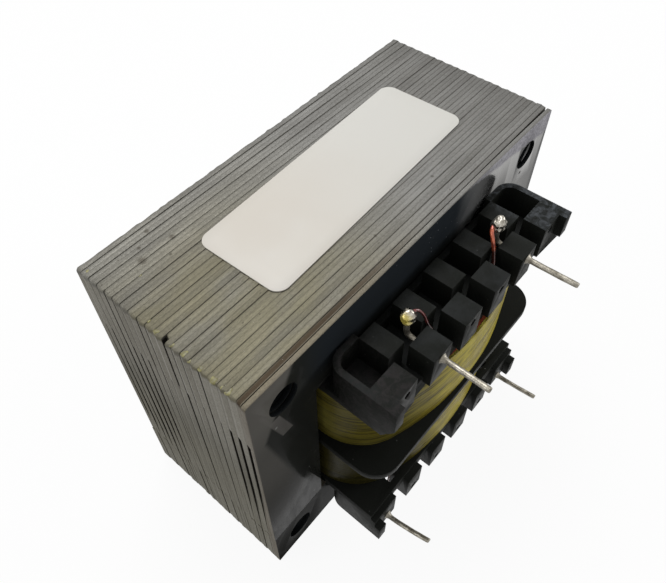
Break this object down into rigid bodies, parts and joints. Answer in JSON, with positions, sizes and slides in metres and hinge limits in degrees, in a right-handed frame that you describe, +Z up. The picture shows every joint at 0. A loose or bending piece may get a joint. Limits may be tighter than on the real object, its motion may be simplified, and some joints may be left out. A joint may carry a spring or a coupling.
{
  "type": "pcb transformer",
  "caption": "Small laminated-core transformer for a circuit board: stacked steel sheets around a black two-chamber bobbin with yellow taped coils, toothed terminal rails and solder pins.",
  "frame": {"origin": "middle of the face that the sheet stack stands on", "axes": "+Z up along the coil's axis, X along the long edge of the sheets, the pins point towards -Y"},
  "size_m": [0.0481, 0.0424, 0.0401],
  "materials": {
    "lamination_steel": "varnished electrical steel, satin edges",
    "bobbin_plastic": "black glass-filled plastic, slightly dusty",
    "enamelled_copper": "copper wire with orange-red enamel",
    "insulation_tape": "yellow polyester tape, translucent and glossy",
    "label_paper": "warm white satin paper",
    "tinned_wire": "dull tinned wire",
    "solder": "shiny solder with flux stains"
  },
  "bodies": {
    "root": {"front_lamination": "lamination_steel", "e_laminations_yoke_up": "lamination_steel", "e_laminations_yoke_down": "lamination_steel", "i_laminations_top": "lamination_steel", "i_laminations_bottom": "lamination_steel", "bobbin": "bobbin_plastic", "secondary_winding": "enamelled_copper", "primary_winding": "enamelled_copper", "secondary_tape": "insulation_tape", "primary_tape": "insulation_tape", "label": "label_paper", "secondary_pin_left": "tinned_wire", "secondary_solder_left": "solder", "secondary_lead_left": "enamelled_copper", "secondary_pin_right": "tinned_wire", "secondary_solder_right": "solder", "secondary_lead_right": "enamelled_copper", "primary_pin_left": "tinned_wire", "primary_solder_left": "solder", "primary_lead_left": "enamelled_copper", "primary_pin_right": "tinned_wire", "primary_solder_right": "solder", "primary_lead_right": "enamelled_copper"}
  },
  "joints": []
}
